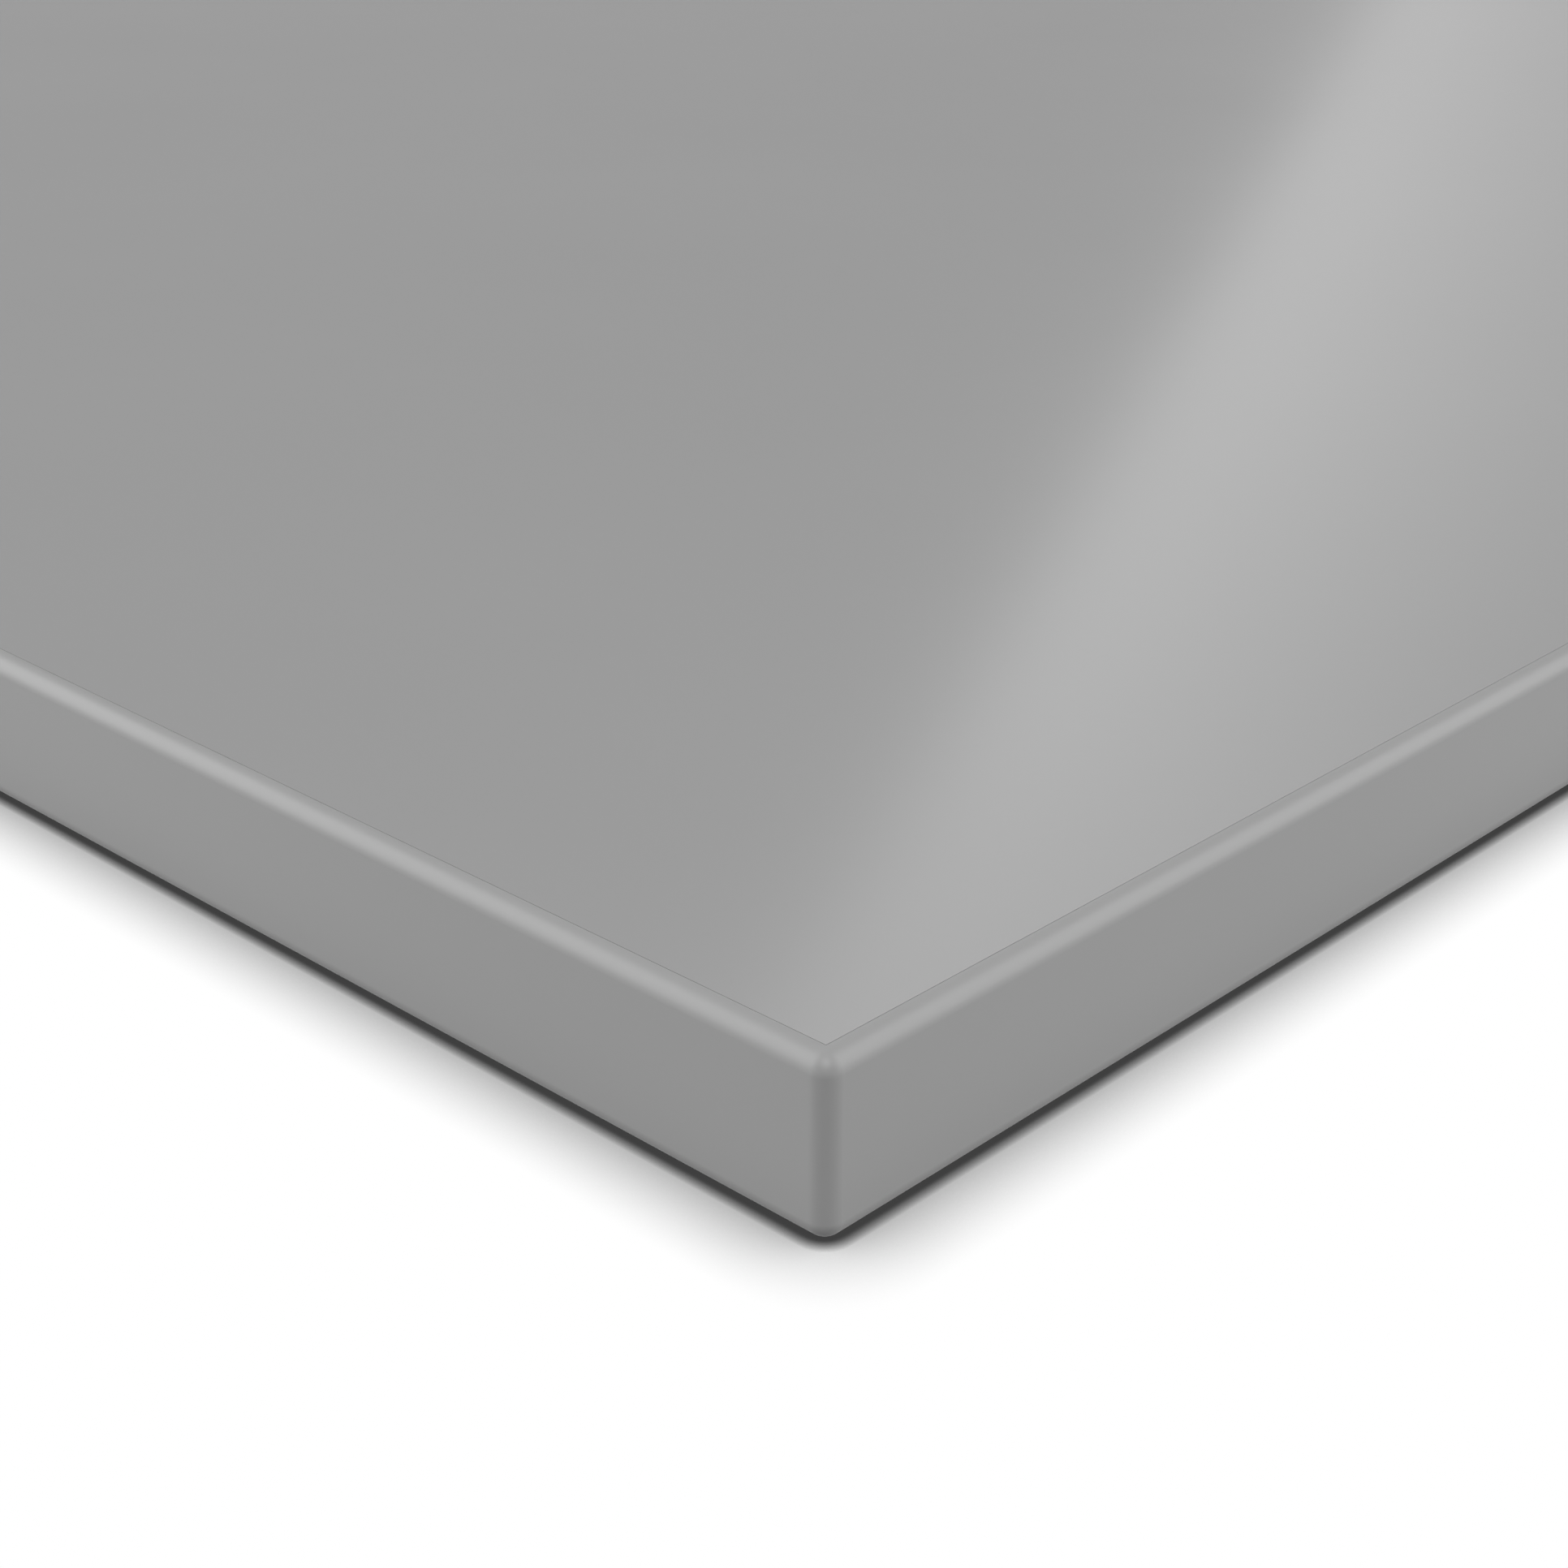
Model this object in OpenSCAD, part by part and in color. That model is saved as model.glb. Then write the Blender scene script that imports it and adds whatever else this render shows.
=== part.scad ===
// Melamine-faced shelf board, edged on all four sides with rounded plastic strips.
// The board lies flat: X runs along its length, Y across its width and Z up.
// The origin is at the middle of its underside.

/* [Board] */
// Length of the finished board, from edging to edging
board_length = 800; // [250:1:2800]
// Width of the finished board, from edging to edging
board_width = 600; // [100:1:1200]
// Thickness of the board, and so the height of its edging
board_thickness = 18; // [10:0.5:40]

/* [Edging] */
// Thickness of the edging strips
edging_thickness = 2; // [0.8:0.1:3]
// Radius of the rounded arrises and corners, which the thickness of the edging limits
arris_radius = 2; // [0.4:0.1:2]

/* [Hidden] */

panel_length = board_length - 2 * edging_thickness;
panel_width = board_width - 2 * edging_thickness;
arris = min(arris_radius, edging_thickness);

face_grey = [0.60, 0.60, 0.60];
edging_grey = [0.57, 0.57, 0.57];

$fn = 96;

// Square cross-section with rounded corners, as high as the board is thick
module rounded_section() {
    flat = board_thickness - 2 * arris;
    translate([arris, 0]) square([flat, board_thickness]);
    translate([0, arris]) square([board_thickness, flat]);
    for (x = [arris, arris + flat], y = [arris, arris + flat])
        translate([x, y]) circle(arris);
}

// Cross-section of the edging: its inner side at x = 0, its outer side rounded at the top and bottom
module edging_section(thickness) {
    intersection() {
        square([thickness, board_thickness]);
        translate([thickness - board_thickness, 0]) rounded_section();
    }
}

// Straight length of edging along X, with its rounded side towards +Y
module straight_edging(length, thickness) {
    rotate([90, 0, 90]) linear_extrude(length, center = true) edging_section(thickness);
}

// Rounded upright corner, turned about its own axis from +X to +Y
module turned_corner() {
    rotate_extrude(angle = 90) edging_section(arris);
}

// End of a long strip, which covers the end of the short strip beside it
module strip_end() {
    covered = edging_thickness - arris;
    translate([board_length / 2 - arris, board_width / 2 - arris, 0]) {
        turned_corner();
        if (covered > 0)
            translate([0, -covered / 2, 0]) rotate(-90) straight_edging(covered, arris);
    }
}

// Edging of the long side at +Y, as long as the whole board
module long_strip() {
    translate([0, panel_width / 2, 0]) straight_edging(board_length - 2 * arris, edging_thickness);
    for (end = [0, 1])
        mirror([end, 0, 0]) strip_end();
}

// Edging of the short side at +X, which fits between the long strips
module short_strip() {
    translate([panel_length / 2, 0, 0]) rotate(-90) straight_edging(panel_width, edging_thickness);
}

// Chipboard with its melamine faces, square-cut to sit inside the edging
module panel() {
    color(face_grey)
        translate([-panel_length / 2, -panel_width / 2, 0])
            cube([panel_length, panel_width, board_thickness]);
}

module back_edging() {
    color(edging_grey) long_strip();
}

module front_edging() {
    color(edging_grey) mirror([0, 1, 0]) long_strip();
}

module right_edging() {
    color(edging_grey) short_strip();
}

module left_edging() {
    color(edging_grey) mirror([1, 0, 0]) short_strip();
}

panel();
front_edging();
back_edging();
left_edging();
right_edging();
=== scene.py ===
import math

import bmesh
import bpy
from mathutils import Matrix, Quaternion, Vector


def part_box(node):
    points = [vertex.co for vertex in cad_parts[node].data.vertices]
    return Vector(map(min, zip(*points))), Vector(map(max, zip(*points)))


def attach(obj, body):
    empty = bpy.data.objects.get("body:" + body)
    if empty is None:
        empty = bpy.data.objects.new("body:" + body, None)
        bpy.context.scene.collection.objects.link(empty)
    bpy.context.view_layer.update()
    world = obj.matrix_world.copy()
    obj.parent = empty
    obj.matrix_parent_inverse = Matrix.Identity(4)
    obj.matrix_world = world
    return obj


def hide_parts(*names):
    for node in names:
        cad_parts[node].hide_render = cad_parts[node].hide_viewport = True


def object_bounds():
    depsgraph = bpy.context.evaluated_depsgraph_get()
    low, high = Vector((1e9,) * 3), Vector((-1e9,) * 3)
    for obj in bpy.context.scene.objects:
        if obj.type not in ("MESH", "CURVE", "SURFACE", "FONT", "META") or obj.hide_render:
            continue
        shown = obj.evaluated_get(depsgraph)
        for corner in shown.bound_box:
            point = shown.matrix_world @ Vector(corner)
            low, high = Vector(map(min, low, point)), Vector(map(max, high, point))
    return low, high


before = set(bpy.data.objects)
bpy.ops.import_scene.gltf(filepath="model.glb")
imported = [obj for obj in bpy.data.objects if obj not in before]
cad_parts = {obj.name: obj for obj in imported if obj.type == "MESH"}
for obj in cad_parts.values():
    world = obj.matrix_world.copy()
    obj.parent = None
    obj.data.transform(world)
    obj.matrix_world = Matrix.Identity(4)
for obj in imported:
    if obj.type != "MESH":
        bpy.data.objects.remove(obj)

# A melamine-faced shelf board, edged with rounded plastic strips, seen closely over one corner.
# Lengths are in metres and angles in degrees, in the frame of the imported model.

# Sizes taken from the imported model
CAD_LOW, CAD_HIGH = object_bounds()
PANEL_LOW, PANEL_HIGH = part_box("panel")
HALF_LENGTH = CAD_HIGH.x
HALF_WIDTH = CAD_HIGH.y
THICKNESS = CAD_HIGH.z
EDGING = PANEL_LOW.x - CAD_LOW.x
ARRIS = EDGING
NEAREST_CORNER = Vector((CAD_LOW.x, CAD_LOW.y, 0))

# Meshes: steps in a quarter turn, the angle up to which faces shade as one, the distance within which
# vertices merge, and the groove that shows as a hairline between face and edging
ARC_STEPS = 24
SMOOTH_UP_TO = 30
SAME_PLACE = 1e-7
GROOVE = 0.00004

# Colour and finish of the board, its edging and the glue between them
BOARD_GREY = 0.333
TONE_SPREAD = 0.003
FACE_ROUGHNESS = 0.17
FACE_ROUGHNESS_SPREAD = 0.005
EDGING_ROUGHNESS = 0.42
PLASTIC_IOR = 1.5
GLUE_GREY = 0.07
GLUE_SPREAD = 0.02
GLUE_ROUGHNESS = 0.6

# Patterns: features in a metre, the span that noise mostly keeps to, and the depth and strength of relief
FACE_CLOUDS = 12
FACE_PEARL = 3500
EDGING_CLOUDS = 30
DIE_LINES = (6, 6, 2200)
GLUE_BEADS = 900
NOISE_LOW = 0.3
NOISE_HIGH = 0.7
RELIEF_DEPTH = 0.00002
PEARL_STRENGTH = 0.02
DIE_LINE_STRENGTH = 0.05

# Camera, set out from the foot of the nearest corner
CAMERA_FROM_CORNER = Vector((-0.131289, -0.120682, 0.1246))
CAMERA_HEADING = 46.3034
CAMERA_PITCH = 24.7363
CAMERA_LENS = 59.65
CAMERA_SEES_FROM = 0.01

# Light of the room overhead, low down and at the horizon, where it meets the white floor. Each fades into
# the next between heights, which are sines of the elevation.
ROOM_LIGHT = 0.208
LOW_LIGHT = 0.315
HORIZON_LIGHT = 1.0
ROOM_LIGHT_FROM = 0.45
LOW_LIGHT_UP_TO = 0.1
HAZE_UP_TO = 0.07

# Floor, its contact shadow in two parts, with how far each reaches and how steeply it falls, and the
# darkest tone of the shadow as it is seen and as the dull edging mirrors it
FLOOR_REACH = 30
FLOOR_BOUNCE = 0.075
WIDE_SHADOW = (0.0095, 1.22)
CLOSE_SHADOW = (0.00155, 2.11)
DARKEST_SHADOW = 0.05
MIRRORED_SHADOW = 0.6
SHADOW_SAMPLES = 16

# Far lamps: name, heading from the camera's, elevation, width, and irradiance as a share of pi
LAMPS = (
    ("left_of_camera", -84, 25, 60, 0.65),
    ("right_of_camera", 90, 25, 60, 0.562),
    ("behind_camera", 180, 40, 45, 0.259),
    ("above_camera", 180, 54, 10, 0.15),
)

# Leaning window, placed ahead of, right of and above the foot of the nearest corner. Its power is in watts.
# It is dimmest at its foot and full from a share of its height upwards.
STREAK_FROM_CORNER = (2.0, 0.465, 0.849)
STREAK_HEADING = 9
STREAK_ELEVATION = 19
STREAK_LEAN = 27.1
STREAK_WIDTH = 0.54
STREAK_LENGTH = 1.7
STREAK_POWER = 3.75
STREAK_FULL_FROM = 0.58
STREAK_FOOT = 0.06


def add_piece(name, mesh, materials, node):
    """A piece of the board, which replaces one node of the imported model. Its flats stay flat to the eye."""
    mesh.shade_smooth()
    mesh.set_sharp_from_angle(angle=math.radians(SMOOTH_UP_TO))
    for material in materials:
        mesh.materials.append(material)
    piece = bpy.data.objects.new(name, mesh)
    bpy.context.scene.collection.objects.link(piece)
    normals = piece.modifiers.new("flat faces stay flat", "WEIGHTED_NORMAL")
    normals.keep_sharp = True
    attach(piece, "root")
    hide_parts(node)
    return piece


def finished_mesh(bm, name):
    """The mesh with its doubled vertices merged and every face turned outwards."""
    bmesh.ops.remove_doubles(bm, verts=bm.verts, dist=SAME_PLACE)
    bmesh.ops.recalc_face_normals(bm, faces=bm.faces)
    mesh = bpy.data.meshes.new(name)
    bm.to_mesh(mesh)
    bm.free()
    return mesh


# Edging strips


def edging_outline():
    """The edging's rounded outer side from the bottom up, as distances from the arris's axis and heights."""
    turns = [math.radians(90) * step / ARC_STEPS for step in range(ARC_STEPS + 1)]
    lower = [(ARRIS * math.sin(turn), ARRIS - ARRIS * math.cos(turn)) for turn in turns]
    upper = [(ARRIS * math.cos(turn), THICKNESS - ARRIS + ARRIS * math.sin(turn)) for turn in turns]
    return lower + upper


def outline_row(bm, x, y, turn):
    """A row of vertices along the outline, turned from +X about the upright axis through x and y."""
    out_x = math.cos(math.radians(turn))
    out_y = math.sin(math.radians(turn))
    return [bm.verts.new((x + out * out_x, y + out * out_y, z)) for out, z in edging_outline()]


def join_rows(bm, first, second):
    """The band of faces between two rows of vertices."""
    for low in range(len(first) - 1):
        bm.faces.new((first[low], second[low], second[low + 1], first[low + 1]))


def long_strip_mesh(name):
    """Edging of the long side at +Y, which turns round the corner at both ends."""
    axis_x = HALF_LENGTH - ARRIS
    axis_y = HALF_WIDTH - ARRIS
    turns = [90 * step / ARC_STEPS for step in range(ARC_STEPS + 1)]
    bm = bmesh.new()
    left_end = [outline_row(bm, -axis_x, axis_y, 180 - turn) for turn in turns]
    right_end = [outline_row(bm, axis_x, axis_y, 90 - turn) for turn in turns]
    rows = left_end + right_end
    for first, second in zip(rows, rows[1:] + rows[:1]):
        join_rows(bm, first, second)
    return finished_mesh(bm, name)


def short_strip_mesh(name):
    """Edging of the short side at +X, which ends square against the long strips."""
    axis_x = HALF_LENGTH - ARRIS
    end_y = HALF_WIDTH - EDGING
    bm = bmesh.new()
    first = outline_row(bm, axis_x, -end_y, 0)
    second = outline_row(bm, axis_x, end_y, 0)
    join_rows(bm, first, second)
    bm.faces.new((first[0], first[-1], second[-1], second[0]))
    bm.faces.new(first)
    bm.faces.new(second)
    return finished_mesh(bm, name)


def turned_half_round(mesh):
    """The mesh turned by half a turn about the upright axis, for the strip on the opposite side."""
    mesh.transform(Matrix.Diagonal((-1, -1, 1, 1)))
    return mesh


def add_edging(material):
    """The four strips, each with the node that it replaces."""
    strips = {
        "back_strip": ("back_edging", long_strip_mesh("back_strip")),
        "front_strip": ("front_edging", turned_half_round(long_strip_mesh("front_strip"))),
        "right_strip": ("right_edging", short_strip_mesh("right_strip")),
        "left_strip": ("left_edging", turned_half_round(short_strip_mesh("left_strip"))),
    }
    return [
        add_piece(name, mesh, [material], node)
        for name, (node, mesh) in strips.items()
    ]


# Panel


def panel_mesh(name):
    """The board between the strips. Its edges are broken by a hair, and the glue's material shows there."""
    bm = bmesh.new()
    bmesh.ops.create_cube(bm, size=1)
    bmesh.ops.scale(bm, vec=PANEL_HIGH - PANEL_LOW, verts=bm.verts)
    bmesh.ops.translate(bm, vec=(PANEL_LOW + PANEL_HIGH) / 2, verts=bm.verts)
    level_edges = [edge for edge in bm.edges if abs(edge.verts[0].co.z - edge.verts[1].co.z) < GROOVE]
    broken = bmesh.ops.bevel(
        bm, geom=level_edges, offset=GROOVE, offset_type="OFFSET", segments=1, affect="EDGES",
    )
    for face in broken["faces"]:
        face.material_index = 1
    return finished_mesh(bm, name)


def add_panel(face_material, glue_material):
    mesh = panel_mesh("shelf_panel")
    return add_piece("shelf_panel", mesh, [face_material, glue_material], "panel")


# Shader nodes


def add_node(tree, kind, inputs=None, **settings):
    """A shader node with its settings and inputs. An input is a plain value or the output that feeds it."""
    made = tree.nodes.new(kind)
    for setting, value in settings.items():
        setattr(made, setting, value)
    for name, value in (inputs or {}).items():
        if isinstance(value, bpy.types.NodeSocket):
            tree.links.new(value, made.inputs[name])
        else:
            made.inputs[name].default_value = value
    return made


def combine(tree, operation, first, second):
    """The result of a sum, a product or the like on two values."""
    return add_node(tree, "ShaderNodeMath", {0: first, 1: second}, operation=operation).outputs[0]


def ease(tree, value, start, end, at_start, at_end):
    """The value carried over softly from one range to another."""
    made = add_node(tree, "ShaderNodeMapRange", {
        "Value": value, "From Min": start, "From Max": end, "To Min": at_start, "To Max": at_end,
    }, interpolation_type="SMOOTHSTEP")
    return made.outputs["Result"]


def waver(tree, noise, middle, spread):
    """The noise as a value that wavers about the middle by the spread."""
    made = add_node(tree, "ShaderNodeMapRange", {
        "Value": noise.outputs["Fac"], "From Min": NOISE_LOW, "From Max": NOISE_HIGH,
        "To Min": middle - spread, "To Max": middle + spread,
    })
    return made.outputs["Result"]


def grey(level):
    return (level, level, level, 1)


# Materials


def new_material(name):
    """A material and its empty node tree."""
    material = bpy.data.materials.new(name)
    material.use_nodes = True
    material.node_tree.nodes.clear()
    return material, material.node_tree


def place_on_object(tree):
    return add_node(tree, "ShaderNodeTexCoord").outputs["Object"]


def add_noise(tree, place, scale, detail):
    return add_node(tree, "ShaderNodeTexNoise", {"Vector": place, "Scale": scale, "Detail": detail})


def fine_relief(tree, noise, strength):
    """The surface's direction, bent by a relief as fine as the noise."""
    made = add_node(tree, "ShaderNodeBump", {
        "Height": noise.outputs["Fac"], "Strength": strength, "Distance": RELIEF_DEPTH,
    })
    return made.outputs["Normal"]


def add_surface(tree, inputs):
    shader = add_node(tree, "ShaderNodeBsdfPrincipled", inputs)
    add_node(tree, "ShaderNodeOutputMaterial", {"Surface": shader.outputs["BSDF"]})


def melamine_material():
    """Plain grey melamine: an even satin face with a very fine pearl grain and barely uneven tone."""
    material, tree = new_material("grey_melamine")
    place = place_on_object(tree)
    cloud = add_noise(tree, place, FACE_CLOUDS, detail=3)
    pearl = add_noise(tree, place, FACE_PEARL, detail=2)
    add_surface(tree, {
        "Base Color": waver(tree, cloud, BOARD_GREY, TONE_SPREAD),
        "Roughness": waver(tree, cloud, FACE_ROUGHNESS, FACE_ROUGHNESS_SPREAD),
        "Normal": fine_relief(tree, pearl, PEARL_STRENGTH),
        "IOR": PLASTIC_IOR,
    })
    return material


def edging_material():
    """Matching plastic edging: duller than the face, with faint level lines along it from the die."""
    material, tree = new_material("grey_edging")
    place = place_on_object(tree)
    cloud = add_noise(tree, place, EDGING_CLOUDS, detail=3)
    drawn_out = add_node(tree, "ShaderNodeMapping", {"Vector": place, "Scale": DIE_LINES})
    die_lines = add_noise(tree, drawn_out.outputs["Vector"], scale=1, detail=2)
    add_surface(tree, {
        "Base Color": waver(tree, cloud, BOARD_GREY, TONE_SPREAD),
        "Roughness": EDGING_ROUGHNESS,
        "Normal": fine_relief(tree, die_lines, DIE_LINE_STRENGTH),
        "IOR": PLASTIC_IOR,
    })
    return material


def glue_material():
    """The dark glue line between the board and its edging."""
    material, tree = new_material("glue_line")
    beads = add_noise(tree, place_on_object(tree), GLUE_BEADS, detail=2)
    add_surface(tree, {
        "Base Color": waver(tree, beads, GLUE_GREY, GLUE_SPREAD),
        "Roughness": GLUE_ROUGHNESS,
    })
    return material


# Floor and room


def openness(tree, reach, steepness):
    """How freely the floor sees past what stands on it within that reach."""
    occlusion = add_node(tree, "ShaderNodeAmbientOcclusion", {"Distance": reach}, samples=SHADOW_SAMPLES)
    return combine(tree, "POWER", occlusion.outputs["AO"], steepness)


def floor_material():
    """White with the board's contact shadow where it is seen or mirrored, and dark grey to soft light."""
    material, tree = new_material("white_floor")
    ray = add_node(tree, "ShaderNodeLightPath").outputs
    openings = combine(tree, "MULTIPLY", openness(tree, *WIDE_SHADOW), openness(tree, *CLOSE_SHADOW))
    mirrored = combine(tree, "MULTIPLY", ray["Is Glossy Ray"], MIRRORED_SHADOW)
    darkest = combine(tree, "MAXIMUM", mirrored, DARKEST_SHADOW)
    shade = combine(tree, "MAXIMUM", openings, darkest)
    shown = add_node(tree, "ShaderNodeEmission", {"Color": grey(1), "Strength": shade})
    lit = add_node(tree, "ShaderNodeBsdfDiffuse", {"Color": grey(FLOOR_BOUNCE)})
    seen = combine(tree, "MAXIMUM", ray["Is Camera Ray"], ray["Is Glossy Ray"])
    direct = combine(tree, "MAXIMUM", seen, ray["Is Transmission Ray"])
    surface = add_node(tree, "ShaderNodeMixShader", {
        0: direct, 1: lit.outputs[0], 2: shown.outputs[0],
    })
    add_node(tree, "ShaderNodeOutputMaterial", {"Surface": surface.outputs[0]})
    material.cycles.emission_sampling = "NONE"
    return material


def add_floor():
    """One wide triangle, so that no edge between faces runs through the shadow."""
    turns = [math.radians(turn) for turn in (90, 210, 330)]
    corners = [(FLOOR_REACH * math.cos(turn), FLOOR_REACH * math.sin(turn), 0) for turn in turns]
    mesh = bpy.data.meshes.new("floor")
    mesh.from_pydata(corners, [], [(0, 1, 2)])
    mesh.materials.append(floor_material())
    floor = bpy.data.objects.new("floor", mesh)
    bpy.context.scene.collection.objects.link(floor)
    return floor


def add_room():
    """Even grey room light, paler low down, where the face mirrors it, and white at the horizon."""
    world = bpy.data.worlds.new("room")
    world.use_nodes = True
    tree = world.node_tree
    tree.nodes.clear()
    skywards = add_node(tree, "ShaderNodeTexCoord").outputs["Generated"]
    height = add_node(tree, "ShaderNodeSeparateXYZ", {0: skywards}).outputs["Z"]
    room = ease(tree, height, LOW_LIGHT_UP_TO, ROOM_LIGHT_FROM, LOW_LIGHT, ROOM_LIGHT)
    haze = ease(tree, height, 0, HAZE_UP_TO, HORIZON_LIGHT - LOW_LIGHT, 0)
    level = combine(tree, "ADD", room, haze)
    background = add_node(tree, "ShaderNodeBackground", {"Color": grey(1), "Strength": level})
    add_node(tree, "ShaderNodeOutputWorld", {"Surface": background.outputs[0]})
    bpy.context.scene.world = world


# Lamps


def towards(heading, elevation):
    """A direction turned clockwise from the camera's heading, as seen from above, and raised from level."""
    turn = math.radians(CAMERA_HEADING + heading)
    rise = math.radians(elevation)
    return Vector((math.sin(turn) * math.cos(rise), math.cos(turn) * math.cos(rise), math.sin(rise)))


def add_lamp_object(name, lamp, rotation):
    """The lamp placed in the scene, itself out of the camera's sight."""
    made = bpy.data.objects.new(name, lamp)
    made.rotation_mode = "QUATERNION"
    made.rotation_quaternion = rotation
    made.visible_camera = False
    bpy.context.scene.collection.objects.link(made)
    return made


def group_of(name, pieces):
    """A collection of pieces that a lamp is to light."""
    group = bpy.data.collections.new(name)
    for piece in pieces:
        group.objects.link(piece)
    return group


def add_far_lamp(name, heading, elevation, width, share, lit, mirrored):
    """A round lamp far away in that direction, which lights one group and may be mirrored in it."""
    lamp = bpy.data.lights.new(name, "SUN")
    lamp.energy = share * math.pi
    lamp.angle = math.radians(width)
    made = add_lamp_object(name, lamp, towards(heading, elevation).to_track_quat("Z", "Y"))
    made.visible_glossy = mirrored
    made.light_linking.receiver_collection = lit


def add_far_lamps(panel, others):
    """The panel takes these lamps' soft light without mirroring them, so it is grey from every side."""
    softly_lit = group_of("softly_lit", [panel])
    fully_lit = group_of("fully_lit", others)
    for name, *values in LAMPS:
        add_far_lamp(name, *values, fully_lit, mirrored=True)
        add_far_lamp(f"{name}_on_face", *values, softly_lit, mirrored=False)


def add_leaning_window():
    """A tall window behind the board. The face mirrors it as a streak, sharp at left and fading right."""
    lamp = bpy.data.lights.new("leaning_window", "AREA")
    lamp.shape = "RECTANGLE"
    lamp.size = STREAK_WIDTH
    lamp.size_y = STREAK_LENGTH
    lamp.energy = STREAK_POWER
    lamp.use_nodes = True
    tree = lamp.node_tree
    tree.nodes.clear()
    pane = add_node(tree, "ShaderNodeNewGeometry").outputs["Parametric"]
    place = add_node(tree, "ShaderNodeSeparateXYZ", {0: pane}).outputs
    upwards = add_node(tree, "ShaderNodeMapRange", {
        "Value": place["Y"], "From Max": STREAK_FULL_FROM, "To Min": STREAK_FOOT,
    })
    level = combine(tree, "MULTIPLY", place["X"], upwards.outputs["Result"])
    glow = add_node(tree, "ShaderNodeEmission", {"Color": grey(1), "Strength": level})
    add_node(tree, "ShaderNodeOutputLight", {"Surface": glow.outputs[0]})
    facing = towards(STREAK_HEADING, STREAK_ELEVATION).to_track_quat("Z", "Y")
    lean = Quaternion((0, 0, 1), math.radians(-STREAK_LEAN))
    window = add_lamp_object("leaning_window", lamp, facing @ lean)
    ahead, right, up = STREAK_FROM_CORNER
    away = ahead * towards(0, 0) + right * towards(90, 0) + Vector((0, 0, up))
    window.location = NEAREST_CORNER + away


def add_camera():
    """The camera, close over the nearest corner."""
    data = bpy.data.cameras.new("camera")
    data.lens = CAMERA_LENS
    data.clip_start = CAMERA_SEES_FROM
    camera = bpy.data.objects.new("camera", data)
    camera.location = NEAREST_CORNER + CAMERA_FROM_CORNER
    camera.rotation_euler = (math.radians(90 - CAMERA_PITCH), 0, math.radians(-CAMERA_HEADING))
    bpy.context.scene.collection.objects.link(camera)
    bpy.context.scene.camera = camera


bpy.context.scene.view_settings.view_transform = "Standard"
add_camera()
shelf_panel = add_panel(melamine_material(), glue_material())
strips = add_edging(edging_material())
floor = add_floor()
add_room()
add_far_lamps(shelf_panel, strips + [floor])
add_leaning_window()
